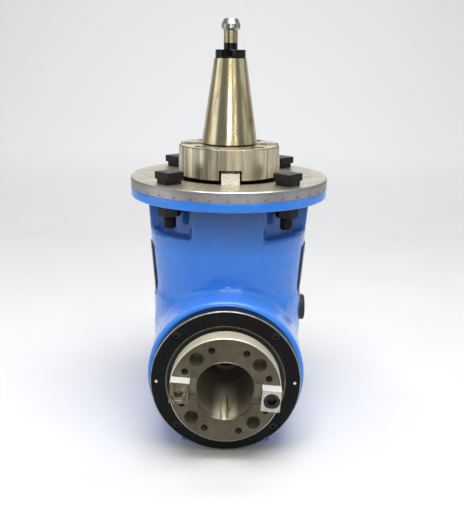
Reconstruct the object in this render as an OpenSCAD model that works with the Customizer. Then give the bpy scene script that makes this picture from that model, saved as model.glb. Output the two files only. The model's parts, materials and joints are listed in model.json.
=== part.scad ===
// Right-angle milling head: a steep-taper shank drives a bevel pair that turns a forward-facing spindle.
// Millimetres, +Z up along the input axis, the spindle nose faces -Y.
// The origin is the centre of the mounting plate's top face.

/* [Mounting plate] */
// Diameter of the graduated mounting plate
plate_d = 250; // [246:1:262]
// Thickness of the graduated steel plate
plate_t = 12.7; // [12:0.1:15]
// Thickness of the painted collar below the plate
collar_t = 11.3; // [10.5:0.1:13]
// Pitch circle of the four T-slot bolts
bolt_circle = 199.4; // [198:0.2:204]

/* [Reach] */
// Mounting face down to the spindle axis
axis_drop = 220; // [218:1:228]
// Input axis out to the spindle nose face
nose_reach = 173.2; // [172:0.2:180]
// Spindle axis down to the foot
foot_drop = 90; // [89:1:93]
// Half width of the foot
foot_half = 53.5; // [46:0.5:56]

/* [Shank] */
// Height of the drive ring's top above the mounting face
ring_top = 39.5; // [39:0.5:44]
// Free lift of the floating shank
shank_lift = 4; // [2:0.5:5]
// Turn of the spindle nose from the level position, seen from the front
nose_clock = -4.7; // [-10:0.1:10]

/* [Gears] */
// Teeth on each bevel gear
gear_teeth = 25; // [23:1:27]
// Play between the flanks on the pitch circle
backlash = 0.4; // [0.35:0.05:0.6]

/* [Hidden] */
$fn = 64;
eps = 0.02;
// radial play of a seated piece and of a running shaft
seat = 0.05;
run = 0.05;
// free air between neighbours that turn
air = 0.3;

// steep taper, number 50: large radius and change of radius per length
taper_r = 69.85 / 2;
taper_rate = 7 / 48;
taper_len = 101.8;
nose_r = 128.57 / 2;

// size of the bevel pair and the main bearings' width against a reach of 173.2
pair = nose_reach / 173.2;

// bearings: bore radius, outer radius, width, ball radius, balls per row
big = [50, 75, 24 * pair, 7.5, 16];
small = [30, 55, 22, 7.8, 12];
// race shoulder as a share of the ball radius, half thickness of a cage and its distance from the race face
race_depth = 0.62;
cage_half = 2.6;
cage_inset = 1.5;

// input stack, heights below the mounting face
plate_bore = 75;
rim_r = 73;
rim_top = -2;
rim_t = 12;
circlip_t = 3;
seal_t = 12;
in_top = -33;
in_space = 34;
in_mid = in_top - big[2];
in_low = in_mid - in_space;
in_end = in_low - big[2];
nut_t = 14;
nut_r = 61;
bore_ledge = 71;
hub_step = in_end - nut_t - 4;
spigot_r = 30;
shaft_neck = 56;

// bevel pair, distances from the apex along a gear's own axis
gear_toe = 44 * pair;
gear_heel = 59 * pair;
mesh_r = 62.5 * pair;
tooth_out = 2 * mesh_r / gear_teeth;
tooth_in = 1.25 * tooth_out;
press_angle = 20;
cone_len = mesh_r * sqrt(2);
gear_back_r = 50.4 * pair;
gear_z = -axis_drop + gear_heel;
toe_z = -axis_drop + gear_toe;
retain_r = 36 * pair;
retain_t = 5;
key_w = 10;
key_h = 8;

// shank
stem_r = 30;
stem_end = -88;
lip_t = 10;
pull_bore = 10.5;
flange_r = 55.7;
flange_z0 = 3;
washer_r = 48;
flange_z1 = 15;
ring_low = 2;
ring_bore = 36;
gauge = ring_top + 3;
small_end = gauge + taper_len;
notch_w = 27.4;
notch_top = 14.6;
notch_turn = 1.9;
block_w = 22;
block_top = 12.35;
block_r0 = 57.5;
block_r1 = 71.5;
block_sink = 4;
slot_w = 25.7;
slot_d = 18;
ring_screw_r = 48;
ring_jack_r = 57;
stud_collar = 10.2;
stud_collar_r = 18.75;
stud_neck_r = 8.5;
stud_head_r = 11.5;
stud_thread = 12;
stud_flat = 17.6;
stud_turn = -15;

// output stack, distances forward of the input axis
cover_face = nose_reach - 23;
cover_t = 16.2;
cover_r = 88.3;
cover_in = 69;
journal_r = nose_r - 2;
barrel_front = cover_face - cover_t;
front_brg = barrel_front - 3;
front_end = front_brg - 2 * big[2];
front_nut = front_end - 12.5;
gear_seat = front_nut - 1;
seat_r = 34 * pair;
sleeve_r = 36 * pair;
barrel_r = 93.5;
rear_face = -100;
rear_brg = -62;
rear_end = rear_brg - small[2];
rear_nut = rear_end - 12;
rear_nut_r = 42;
spindle_end = -98;
rear_cover_t = 12;
rear_cover_r = 72;
rear_open = 27;
rear_screw_r = 63;
cover_screw_r = 81;
dowel_r = 2.25;
dowel_len = 10;
key_screw_r = 52.5;
key_screw_len = 30;
key_screw_seat = 2.5;
nose_bolt_r = 50.8;
nose_tap_r = 52;
draw_bore = 14;

// casting
collar_low = -plate_t - collar_t;
cone_top_r = 104;
cone_low_r = 95.2;
crease = -142;
flare_low = -152;
drum_r = 97.2;
drum_low = -207;
drum_round = 12;
pocket_r = 83;
pocket_in = 43;
pocket_side = 22;
pocket_low = collar_low - 41;
plate_screw_r = plate_d / 2 - 11;
foot_front = barrel_front - 8;
foot_rear = -rear_face - 10;

// T-slot bolts
tee_r = bolt_circle / 2;
tee_head = 25;
tee_head_h = 9;
tee_neck = 16;
tee_neck_h = 5.5;
tee_rod = 8;
tee_end = -54;
tee_nut_h = 14.8;
tee_nut_af = 24;

// side plates and plug
tag_top = -87;
tag_low = -155;
tag_half = 17;
tag_t = 1.8;
plug_z = -178;
plug_seat = drum_r - 2.8;
plug_r = 17;
plug_h = 8.6;

// small fasteners: thread radius, head radius, head height, socket across flats
m6 = [3, 5, 6, 5];
m8 = [4, 6.5, 8, 6];
m10 = [5, 8, 10, 8];
m12 = [6, 9, 12, 10];

function across(af) = af / 2 / cos(30);
function cone_r(z) = cone_top_r + (cone_low_r - cone_top_r) * (z - collar_low) / (crease - collar_low);
function mid_r(b) = (b[0] + b[1]) / 2;

// output frame: local z runs forward along the spindle, local x right and local y up as seen from the front
module forward() {
    translate([0, 0, -axis_drop])
        rotate([90, 0, 0])
            children();
}

module ring_of(n, r, start = 0) {
    for (i = [0:n - 1])
        rotate([0, 0, start + i * 360 / n])
            translate([r, 0, 0])
                children();
}

module tube(r_in, r_out, z0, z1) {
    translate([0, 0, z0])
        difference() {
            cylinder(r = r_out, h = z1 - z0);
            translate([0, 0, -1])
                cylinder(r = r_in, h = z1 - z0 + 2);
        }
}

module rod(r, z0, z1) {
    translate([0, 0, z0])
        cylinder(r = r, h = z1 - z0);
}

// socket head screw: head above z = 0, thread of the given length below
module cap_screw(s, length) {
    difference() {
        union() {
            rod(s[1], 0, s[2]);
            rod(s[0], -length, eps);
        }
        translate([0, 0, s[2] / 2])
            cylinder(r = across(s[3]), h = s[2], $fn = 6);
    }
}

module cap_hole(s, length, deep) {
    rod(s[1] + 0.4, 0, deep);
    rod(s[0] + 0.02, -length - 0.5, eps);
}

// bearing rows, bottom face at z = 0
module outer_race(b) {
    difference() {
        tube(mid_r(b) + race_depth * b[3], b[1] - seat, seat, b[2] - seat);
        race_groove(b);
    }
}

module inner_race(b) {
    difference() {
        tube(b[0] + seat, mid_r(b) - race_depth * b[3], seat, b[2] - seat);
        race_groove(b);
    }
}

module race_groove(b) {
    translate([0, 0, b[2] / 2])
        rotate_extrude()
            translate([mid_r(b), 0])
                circle(r = b[3] + air);
}

module ball_row(b) {
    translate([0, 0, b[2] / 2])
        ring_of(b[4], mid_r(b))
            sphere(r = b[3]);
}

module cage_row(b) {
    difference() {
        tube(mid_r(b) - cage_half, mid_r(b) + cage_half, cage_inset, b[2] - cage_inset);
        translate([0, 0, b[2] / 2])
            ring_of(b[4], mid_r(b))
                rotate([0, 90, 0])
                    rod(b[3] + air, -6, 6);
    }
}

// bevel teeth: involute on the back cone, drawn in a plane square to the axis
function involute(r, rb) = sqrt(pow(r / rb, 2) - 1) * 180 / PI - acos(rb / r);
function tooth_half(r) =
    let (rb = cone_len * cos(press_angle),
         rr = max(r, rb),
         base = 90 * sqrt(0.5) / gear_teeth,
         thin = backlash / 4 / cone_len * 180 / PI)
    (base + involute(cone_len, rb) - involute(rr, rb) - thin) * sqrt(2);
function flank() =
    let (rb = cone_len * cos(press_angle) - cone_len)
    [-tooth_in, rb, rb * 0.55, 0, tooth_out * 0.35, tooth_out * 0.7, tooth_out];
function plane_r(t) = gear_toe * tan(45 + atan(t / cone_len));
function tooth_side(side) =
    [for (t = flank()) [plane_r(t), side * tooth_half(cone_len + t)]];
function tooth() =
    let (up = tooth_side(-1), down = tooth_side(1), last = len(up) - 1)
    concat(up, [for (i = [0:last]) down[last - i]]);

module bevel_teeth(start) {
    linear_extrude(height = gear_heel - gear_toe, scale = gear_heel / gear_toe)
        polygon([for (k = [0:gear_teeth - 1]) for (p = tooth())
            let (turn = start + p[1] + k * 360 / gear_teeth)
            [p[0] * cos(turn), p[0] * sin(turn)]]);
}

// key lying along the axis on the -x side of a shaft of radius r
module shaft_key(r, z0, z1, play = 0) {
    translate([-r - 3.2 - play, -key_w / 2 - play, z0 - play])
        cube([key_h + 2 * play, key_w + 2 * play, z1 - z0 + 2 * play]);
}

// casting
module body_profile() {
    fillet = 5;
    polygon(concat(
        [[0, collar_low + 1], [cone_top_r + fillet, collar_low + 1], [cone_top_r + fillet, collar_low]],
        [for (a = [15:15:90])
            [cone_top_r + fillet - fillet * sin(a), collar_low - fillet + fillet * cos(a)]],
        [[cone_low_r, crease], [drum_r, flare_low]],
        [for (a = [0:15:90])
            [drum_r - drum_round + drum_round * cos(a), drum_low + drum_round - drum_round * sin(a)]],
        [[0, drum_low]]));
}

module barrel_profile() {
    edge = 5;
    polygon(concat(
        [[0, rear_face], [barrel_r - 2, rear_face], [barrel_r, rear_face + 2]],
        [for (a = [0:15:75])
            [barrel_r - edge + edge * cos(a), barrel_front - edge * 1.6 + edge * 1.6 * sin(a)]],
        [[barrel_r - edge + 0.6, barrel_front], [0, barrel_front]]));
}

module collar_profile() {
    edge = 1.5;
    polygon([[0, -plate_t], [plate_d / 2, -plate_t], [plate_d / 2, collar_low + edge],
        [plate_d / 2 - edge, collar_low], [0, collar_low]]);
}

// room for a wrench at each T-slot bolt, down to the wall around the input bearings
module nut_pockets() {
    reach = plate_d / 2;
    translate([0, 0, pocket_low])
        linear_extrude(height = collar_low - pocket_low)
            difference() {
                for (a = [-1, 1], b = [-1, 1])
                    translate([a * (pocket_in + reach / 2), b * (pocket_side + reach / 2)])
                        square(reach, center = true);
                circle(r = pocket_r);
            }
}

module foot() {
    translate([-foot_half, -foot_front, -axis_drop - foot_drop])
        cube([2 * foot_half, foot_front + foot_rear, foot_drop - 30]);
}

module housing_solid() {
    difference() {
        union() {
            rotate_extrude()
                collar_profile();
            rotate_extrude()
                body_profile();
            forward()
                rotate_extrude()
                    barrel_profile();
            foot();
        }
        translate([-plate_d, -plate_d, -axis_drop - foot_drop - barrel_r])
            cube([2 * plate_d, 2 * plate_d, barrel_r]);
    }
}

module housing_bores() {
    rod(big[1], in_end, 1 - plate_t);
    rod(big[1] + 3, in_top - eps, in_top + circlip_t + eps);
    rod(bore_ledge, -axis_drop, in_end + 1);
    forward() {
        rod(big[1], front_end, barrel_front + 1);
        rod(big[1] - 5, -45, front_end + 1);
        rod(sleeve_r + 5, rear_brg - 1, -44);
        rod(small[1], rear_face - 1, rear_brg);
    }
}

module housing() {
    color([0.18, 0.42, 0.78])
        difference() {
            housing_solid();
            housing_bores();
            nut_pockets();
            ring_of(4, tee_r, 45)
                rod(tee_rod + 0.6, collar_low - 1, 1);
            plate_screw_places()
                cap_hole(m8, 14, 20);
            forward() {
                ring_of(4, cover_screw_r, 45)
                    rod(m6[0] + 0.02, barrel_front - 16, barrel_front + 1);
                ring_of(6, rear_screw_r, 30)
                    rod(m6[0] + 0.02, rear_face - 1, rear_face + 16);
            }
            side_tag(0, air / 3, 5);
            side_tag(180, air / 3, 5);
            side_pin_places()
                rod(1.52, -7, 2);
            plug_place() {
                rod(plug_r + 1, 0, 20);
                rod(11.05, -40, 1);
            }
        }
}

// screws that hold the plate, entered from below the collar
module plate_screw_places() {
    for (a = [15:30:345])
        if (a % 90 != 45)
            rotate([0, 0, a])
                translate([plate_screw_r, 0, collar_low + m8[2] + air])
                    rotate([180, 0, 0])
                        children();
}

module mounting_plate() {
    edge = 0.9;
    color([0.72, 0.71, 0.68])
        difference() {
            rotate_extrude()
                polygon([[plate_bore, -plate_t], [plate_d / 2, -plate_t], [plate_d / 2, -edge],
                    [plate_d / 2 - edge, 0], [plate_bore + edge, 0], [plate_bore, -edge]]);
            ring_of(4, tee_r, 45)
                rod(tee_rod + 0.6, -plate_t - 1, 1);
            plate_screw_places()
                rod(m8[0] + 0.02, -14.5, 1);
        }
}

module plate_screws() {
    color([0.1, 0.1, 0.1])
        plate_screw_places()
            cap_screw(m8, 14);
}

module t_bolts() {
    color([0.12, 0.12, 0.13])
        ring_of(4, tee_r, 45)
            union() {
                difference() {
                    translate([-tee_head / 2, -tee_head / 2, tee_neck_h])
                        cube([tee_head, tee_head, tee_head_h]);
                    for (i = [0:3])
                        rotate([0, 0, 45 + 90 * i])
                            translate([tee_head * sqrt(0.5) - 1.2, -10, tee_neck_h + tee_head_h])
                                rotate([0, 45, 0])
                                    cube([6, 20, 6]);
                }
                translate([-tee_head / 2, -tee_neck / 2, 0])
                    cube([tee_head, tee_neck, tee_neck_h + 1]);
                rod(tee_rod, tee_end + 1.5, 1);
                translate([0, 0, tee_end])
                    cylinder(r1 = tee_rod - 1.5, r2 = tee_rod, h = 1.5 + eps);
            }
}

module t_bolt_nuts() {
    color([0.14, 0.14, 0.14])
        ring_of(4, tee_r, 45)
            difference() {
                intersection() {
                    translate([0, 0, collar_low - tee_nut_h])
                        rotate([0, 0, 30])
                            cylinder(r = across(tee_nut_af), h = tee_nut_h, $fn = 6);
                    translate([0, 0, collar_low - tee_nut_h])
                        cylinder(r1 = tee_nut_af / 2, r2 = tee_nut_af / 2 + tee_nut_h * 1.7, h = tee_nut_h);
                }
                rod(tee_rod + seat, collar_low - tee_nut_h - 1, collar_low + 1);
            }
}

// front cover and its fasteners
module front_cover() {
    edge = 1.2;
    color([0.09, 0.09, 0.1])
        forward()
            difference() {
                union() {
                    rotate_extrude()
                        polygon([[cover_in, barrel_front], [cover_r, barrel_front],
                            [cover_r, cover_face - edge], [cover_r - edge, cover_face],
                            [cover_in + edge, cover_face], [cover_in, cover_face - edge]]);
                    tube(cover_in, big[1] - seat, front_brg, barrel_front + 1);
                }
                ring_of(4, cover_screw_r, 45)
                    translate([0, 0, cover_face - 8])
                        cap_hole(m6, 30, 20);
                ring_of(2, cover_screw_r)
                    rod(dowel_r, cover_face - dowel_len, cover_face + 1);
            }
}

module cover_dowels() {
    color([0.82, 0.82, 0.8])
        forward()
            ring_of(2, cover_screw_r)
                union() {
                    rod(dowel_r - seat, cover_face - dowel_len, cover_face - 0.6);
                    translate([0, 0, cover_face - 0.6])
                        cylinder(r1 = dowel_r - seat, r2 = dowel_r - 0.6, h = 0.5);
                }
}

module front_cover_screws() {
    color([0.12, 0.12, 0.12])
        forward()
            ring_of(4, cover_screw_r, 45)
                translate([0, 0, cover_face - 8])
                    cap_screw(m6, 22);
}

module front_seal() {
    color([0.06, 0.06, 0.06])
        forward()
            difference() {
                tube(journal_r + air, cover_in - seat, barrel_front + 5, cover_face - 2);
                tube(journal_r + 2, cover_in - 1.6, cover_face - 4.5, cover_face);
            }
}

module rear_cover() {
    edge = 1.5;
    color([0.1, 0.1, 0.1])
        forward()
            difference() {
                union() {
                    rotate_extrude()
                        polygon([[rear_open, rear_face], [rear_cover_r, rear_face],
                            [rear_cover_r, rear_face - rear_cover_t + edge],
                            [rear_cover_r - edge, rear_face - rear_cover_t],
                            [rear_open + edge, rear_face - rear_cover_t],
                            [rear_open, rear_face - rear_cover_t + edge]]);
                    tube(46, small[1] - seat, rear_face - 1, rear_end);
                }
                ring_of(6, rear_screw_r, 30)
                    translate([0, 0, rear_face - rear_cover_t + m6[2] + 0.5])
                        rotate([180, 0, 0])
                            cap_hole(m6, 30, 20);
            }
}

module rear_cover_screws() {
    color([0.14, 0.14, 0.14])
        forward()
            ring_of(6, rear_screw_r, 30)
                translate([0, 0, rear_face - rear_cover_t + m6[2] + 0.5])
                    rotate([180, 0, 0])
                        cap_screw(m6, 20);
}

// bare plates rolled onto the sides of the casting
module side_tag(turn, play = 0, out = 0) {
    sunk = 0.2 + play;
    rise = tag_t + out;
    rotate([0, 0, turn - tag_half])
        rotate_extrude(angle = 2 * tag_half)
            polygon([[cone_r(tag_top) - sunk, tag_top + play], [cone_r(tag_top) + rise, tag_top + play],
                [cone_r(tag_low) + rise, tag_low - play], [cone_r(tag_low) - sunk, tag_low - play]]);
}

module side_plate(turn) {
    color([0.2, 0.16, 0.15])
        difference() {
            side_tag(turn);
            side_pin_places()
                rod(1.55, -7, 7);
        }
}

module side_plate_left() {
    side_plate(180);
}

module side_plate_right() {
    side_plate(0);
}

// z points square out of the casting, z = 0 just outside the plate
module side_pin_places() {
    inset = 5;
    tilt = atan((cone_top_r - cone_low_r) / (collar_low - crease));
    for (t = [0, 180], s = [-1, 1], z = [tag_top - inset, tag_low + inset])
        rotate([0, 0, t + s * (tag_half - 3)])
            translate([cone_r(z) + tag_t + air / 2, 0, z])
                rotate([0, 90 + tilt, 0])
                    children();
}

module side_plate_pins() {
    color([0.6, 0.6, 0.6])
        side_pin_places() {
            rod(1.5, -6, eps);
            rod(2.4, 0, 0.9);
        }
}

module plug_place() {
    translate([plug_seat, 0, plug_z])
        rotate([0, 90, 0])
            children();
}

module oil_plug() {
    edge = 1.4;
    color([0.07, 0.06, 0.06])
        plug_place()
            difference() {
                union() {
                    rotate_extrude()
                        polygon([[0, 1.5], [plug_r, 1.5], [plug_r, plug_h - edge],
                            [plug_r - edge, plug_h], [0, plug_h]]);
                    rod(11, -15, 2);
                }
                translate([0, 0, plug_h - 6])
                    cylinder(r = across(12), h = 10, $fn = 6);
            }
}

module oil_plug_washer() {
    color([0.66, 0.4, 0.22])
        plug_place()
            tube(11.2, 15.6, 0, 1.5);
}

// fixed pieces of the input bearings
module input_seal() {
    color([0.15, 0.08, 0.06])
        difference() {
            tube(shaft_neck + air, big[1] - seat, in_top + circlip_t, in_top + circlip_t + seal_t);
            tube(shaft_neck + 4, big[1] - 5, in_top + circlip_t + 4, in_top + circlip_t + seal_t + 1);
        }
}

module input_circlip() {
    color([0.3, 0.3, 0.32])
        difference() {
            tube(big[1] - 5, big[1] + 2.8, in_top, in_top + circlip_t);
            translate([0, -5, in_top - 1])
                cube([90, 10, circlip_t + 2]);
        }
}

module input_outer_races() {
    color([0.75, 0.75, 0.77])
        for (z = [in_mid, in_end])
            translate([0, 0, z])
                outer_race(big);
}

module input_outer_spacer() {
    color([0.62, 0.62, 0.64])
        tube(big[1] - 6, big[1] - seat, in_low, in_mid);
}

module front_outer_races() {
    color([0.75, 0.75, 0.77])
        forward()
            for (i = [0, 1])
                translate([0, 0, front_end + i * big[2]])
                    outer_race(big);
}

module rear_outer_race() {
    color([0.75, 0.75, 0.77])
        forward()
            translate([0, 0, rear_end])
                outer_race(small);
}

// turning pieces of the input
module input_hub() {
    color([0.6, 0.59, 0.56])
        difference() {
            union() {
                rod(rim_r, rim_top - rim_t, rim_top);
                rod(shaft_neck, in_top, rim_top - 1);
                rod(big[0], in_end, in_top + 1);
                rod(big[0] - 1.5, hub_step, in_end + 1);
                rod(spigot_r, toe_z + air, hub_step + 1);
            }
            rod(stem_r + run, stem_end - 6, 1);
            block_places()
                block_body(0);
            block_places()
                block_screw_places()
                    rod(m6[0] + 0.02, -20, 1);
            rod(m12[0] + 0.02, stem_end - 32, stem_end);
            rod(m12[0] + 0.02, toe_z - 1, toe_z + 26);
            shaft_key(spigot_r - key_h + 3.2, toe_z + 12, toe_z + 38, 0.02);
        }
}

module block_places() {
    for (a = [0, 180])
        rotate([0, 0, notch_turn + a])
            children();
}

module block_body(trim) {
    translate([-block_w / 2 + trim, -block_r1 + trim, rim_top - block_sink])
        cube([block_w - 2 * trim, block_r1 - block_r0 - 2 * trim, block_top - rim_top + block_sink]);
}

module block_screw_places() {
    for (s = [-1, 1])
        translate([s * 5.6, -(block_r0 + block_r1) / 2, block_top - m6[2] - 0.4])
            children();
}

module drive_blocks() {
    color([0.78, 0.77, 0.72])
        block_places()
            difference() {
                block_body(0.02);
                block_screw_places()
                    cap_hole(m6, 40, 20);
            }
}

module drive_block_screws() {
    color([0.12, 0.12, 0.12])
        block_places()
            block_screw_places()
                cap_screw(m6, 20);
}

module thrust_washer() {
    color([0.7, 0.5, 0.25])
        tube(stem_r + 3, washer_r, rim_top, flange_z0 - air);
}

module input_inner_races() {
    color([0.75, 0.75, 0.77])
        for (z = [in_mid, in_end])
            translate([0, 0, z])
                inner_race(big);
}

module input_inner_spacer() {
    color([0.62, 0.62, 0.64])
        tube(big[0] + seat, big[0] + 6, in_low, in_mid);
}

module lock_nut(r_in, r_out, z0, z1) {
    difference() {
        tube(r_in + seat, r_out, z0, z1);
        ring_of(4, r_out)
            translate([-4, -4, z0 - 1])
                cube([8, 8, z1 - z0 + 2]);
    }
}

module input_lock_nut() {
    color([0.22, 0.22, 0.23])
        lock_nut(big[0] - 1.5, nut_r, in_end - nut_t, in_end);
}

module input_gear() {
    color([0.45, 0.44, 0.42])
        difference() {
            union() {
                translate([0, 0, toe_z])
                    bevel_teeth(-90);
                rod(gear_back_r, gear_z - 1, hub_step);
            }
            rod(spigot_r + seat, toe_z - 1, hub_step + 1);
            shaft_key(spigot_r - key_h + 3.2, toe_z - 1, hub_step + 1, 0.02);
        }
}

module input_gear_key() {
    color([0.5, 0.5, 0.5])
        shaft_key(spigot_r - key_h + 3.2, toe_z + 12, toe_z + 38);
}

module input_gear_retainer() {
    color([0.3, 0.3, 0.3])
        difference() {
            rod(retain_r, toe_z - retain_t, toe_z);
            rod(m12[0] + 0.3, toe_z - retain_t - 1, toe_z + 1);
            translate([0, 0, toe_z - retain_t - eps])
                cylinder(r1 = 11, r2 = m12[0] + 0.3, h = retain_t - 1);
        }
}

module retainer_screw() {
    color([0.12, 0.12, 0.12])
        difference() {
            union() {
                translate([0, 0, toe_z - retain_t])
                    cylinder(r1 = 10.8, r2 = m12[0], h = retain_t - 1);
                rod(m12[0], toe_z - 1.1, toe_z + 24);
            }
            translate([0, 0, toe_z - retain_t - 1])
                cylinder(r = across(8), h = 5, $fn = 6);
        }
}

// shoulder screw that stops the shank from lifting out of the hub
module float_screw() {
    head_low = stem_end + lip_t + shank_lift + air;
    color([0.14, 0.14, 0.14])
        difference() {
            union() {
                rod(m12[1], head_low, head_low + m12[2]);
                rod(m12[0] + 1, stem_end - 6, head_low + 1);
                rod(m12[0], stem_end - 30, stem_end - 5);
            }
            translate([0, 0, head_low + m12[2] / 2])
                cylinder(r = across(m12[3]), h = m12[2], $fn = 6);
        }
}

// floating shank
module taper_shank() {
    neck = 33.2;
    color([0.7, 0.68, 0.6])
        difference() {
            union() {
                rod(stem_r, stem_end, flange_z0 + 1);
                rod(flange_r, flange_z0, flange_z1);
                rod(ring_bore - seat, flange_z1 - 1, ring_top - 3);
                rod(neck, ring_top - 4, gauge - 1);
                translate([0, 0, gauge - 1.5])
                    cylinder(r1 = taper_r + 1.5 * taper_rate, r2 = taper_r - taper_len * taper_rate,
                        h = taper_len + 1.5);
            }
            rod(pull_bore, stem_end + lip_t, small_end + 1);
            rod(stud_thread + seat, small_end - 34, small_end + 1);
            rod(m12[0] + 1.6, stem_end - 1, stem_end + lip_t + 1);
            ring_of(4, ring_screw_r, 45)
                rod(m10[0] + 0.02, flange_z0 - 1, flange_z1 + 1);
        }
}

module drive_ring() {
    edge = 0.8;
    color([0.68, 0.66, 0.58])
        difference() {
            rotate_extrude()
                polygon([[ring_bore, ring_top], [nose_r - edge, ring_top], [nose_r, ring_top - edge],
                    [nose_r, ring_low + edge], [nose_r - edge, ring_low], [flange_r + seat, ring_low],
                    [flange_r + seat, flange_z1], [ring_bore, flange_z1]]);
            translate([-80, -slot_w / 2, ring_top - slot_d])
                cube([160, slot_w, slot_d + 1]);
            rotate([0, 0, notch_turn])
                translate([-notch_w / 2, -80, ring_low - 1])
                    cube([notch_w, 160, notch_top - ring_low + 1]);
            ring_of(4, ring_screw_r, 45)
                translate([0, 0, ring_top - m10[2] - 1.5])
                    cap_hole(m10, 40, 20);
            ring_of(2, ring_jack_r, 90)
                rod(2.5, ring_top - 10, ring_top + 1);
        }
}

module drive_ring_screws() {
    color([0.12, 0.12, 0.12])
        ring_of(4, ring_screw_r, 45)
            translate([0, 0, ring_top - m10[2] - 1.5])
                cap_screw(m10, ring_top - m10[2] - 1.5 - flange_z0 - 1);
}

module pull_stud() {
    edge = 0.8;
    z = small_end + stud_collar;
    flat_low = small_end + 2.2;
    color([0.16, 0.16, 0.17])
        difference() {
            union() {
                rotate_extrude()
                    polygon([[0, small_end], [stud_collar_r, small_end], [stud_collar_r, z - edge],
                        [stud_collar_r - edge, z], [stud_neck_r, z], [stud_neck_r, z + 22.2],
                        [stud_head_r, z + 25], [stud_head_r, z + 30], [stud_neck_r, z + 36],
                        [stud_neck_r - edge, z + 36.5], [0, z + 36.5]]);
                rod(stud_thread, small_end - 32, small_end + 1);
            }
            for (s = [0, 180])
                rotate([0, 0, s + stud_turn])
                    translate([-stud_collar_r, stud_flat, flat_low])
                        cube([2 * stud_collar_r, stud_collar_r, z - flat_low + eps]);
        }
}

// output spindle, drawn forward along the local z axis
module nose_face() {
    translate([0, 0, nose_reach])
        rotate([0, 0, nose_clock])
            children();
}

module output_spindle() {
    lip = 1.2;
    socket = 103;
    color([0.66, 0.64, 0.55])
        forward()
            difference() {
                union() {
                    rotate_extrude()
                        polygon([[0, barrel_front + air], [journal_r, barrel_front + air],
                            [journal_r, cover_face + air], [nose_r, cover_face + air],
                            [nose_r, nose_reach - lip], [nose_r - lip, nose_reach], [0, nose_reach]]);
                    rod(shaft_neck, front_brg, barrel_front + 1);
                    rod(big[0], front_end, front_brg + 1);
                    rod(big[0] - 1.5, gear_seat, front_end + 1);
                    rod(seat_r, gear_toe + air, gear_seat + 1);
                    rod(small[0], spindle_end, gear_toe + 1);
                }
                translate([0, 0, nose_reach - socket])
                    cylinder(r1 = taper_r - socket * taper_rate, r2 = taper_r, h = socket);
                translate([0, 0, nose_reach - 1])
                    cylinder(r1 = taper_r - 0.2, r2 = taper_r + 1.2, h = 1.01);
                rod(draw_bore, spindle_end - 1, nose_reach - socket + 1);
                nose_face() {
                    nose_key_places()
                        key_box(0);
                    nose_key_places()
                        translate([key_screw_r, 0, 0])
                            rod(m12[0] + 0.02, -key_screw_len, 1);
                    ring_of(4, nose_bolt_r, 45)
                        rod(8, -24, 1);
                    ring_of(8, nose_tap_r, 22.5)
                        rod(4, -18, 1);
                }
                shaft_key(seat_r - key_h + 3.2, gear_toe + 2, gear_seat - 1, 0.02);
            }
}

module nose_key_places() {
    for (a = [0, 180])
        rotate([0, 0, a])
            children();
}

// z = 0 lies in the nose face
module key_box(trim) {
    deep = 10;
    rise = 15.5;
    width = 25.4;
    inner = 41;
    outer = sqrt(pow(nose_r - 0.3, 2) - width * width / 4);
    translate([inner, -width / 2 + trim, -deep + trim])
        cube([(trim == 0 ? nose_r + 5 : outer) - inner, width - 2 * trim, deep + rise]);
    if (trim == 0)
        translate([inner - 20, -width / 2, -deep])
            cube([30, width, deep + rise]);
}

module nose_keys() {
    color([0.5, 0.48, 0.4])
        forward()
            nose_face()
                nose_key_places()
                    difference() {
                        key_box(0.02);
                        translate([key_screw_r, 0, key_screw_seat])
                            cap_hole(m12, key_screw_len + 10, 20);
                    }
}

module nose_key_screws() {
    color([0.12, 0.12, 0.12])
        forward()
            nose_face()
                nose_key_places()
                    translate([key_screw_r, 0, key_screw_seat])
                        cap_screw(m12, key_screw_len);
}

module output_gear() {
    color([0.45, 0.44, 0.42])
        forward()
            difference() {
                union() {
                    translate([0, 0, gear_toe])
                        bevel_teeth(90 + 180 / gear_teeth);
                    rod(gear_back_r, gear_heel - 1, gear_seat);
                }
                rod(seat_r + seat, gear_toe - 1, gear_seat + 1);
                shaft_key(seat_r - key_h + 3.2, gear_toe - 1, gear_seat + 1, 0.02);
            }
}

module output_gear_key() {
    color([0.5, 0.5, 0.5])
        forward()
            shaft_key(seat_r - key_h + 3.2, gear_toe + 2, gear_seat - 1);
}

module front_inner_races() {
    color([0.75, 0.75, 0.77])
        forward()
            for (i = [0, 1])
                translate([0, 0, front_end + i * big[2]])
                    inner_race(big);
}

module front_lock_nut() {
    color([0.22, 0.22, 0.23])
        forward()
            lock_nut(big[0] - 1.5, nut_r, front_nut, front_end);
}

module spacer_sleeve() {
    color([0.55, 0.55, 0.56])
        forward()
            tube(small[0] + seat, sleeve_r, rear_brg, gear_toe);
}

module rear_inner_race() {
    color([0.75, 0.75, 0.77])
        forward()
            translate([0, 0, rear_end])
                inner_race(small);
}

module rear_lock_nut() {
    color([0.22, 0.22, 0.23])
        forward()
            lock_nut(small[0], rear_nut_r, rear_nut, rear_end);
}

module draw_bolt() {
    collar_t0 = 5.5;
    hex_af = 30;
    color([0.3, 0.3, 0.31])
        forward()
            union() {
                rod(12, spindle_end - 1, 78.5);
                translate([0, 0, 78.5])
                    cylinder(r1 = 12, r2 = 10.5, h = 1.5);
                rod(draw_bore - run, spindle_end - 1, spindle_end + 26);
                rod(21, spindle_end - air - collar_t0, spindle_end - air);
                translate([0, 0, rear_face - rear_cover_t + 0.5])
                    cylinder(r = across(hex_af), h = rear_cover_t - 3, $fn = 6);
            }
}

// rolling elements
module input_balls() {
    color([0.8, 0.8, 0.82])
        for (z = [in_mid, in_end])
            translate([0, 0, z])
                ball_row(big);
}

module input_cages() {
    color([0.72, 0.56, 0.28])
        for (z = [in_mid, in_end])
            translate([0, 0, z])
                cage_row(big);
}

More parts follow.
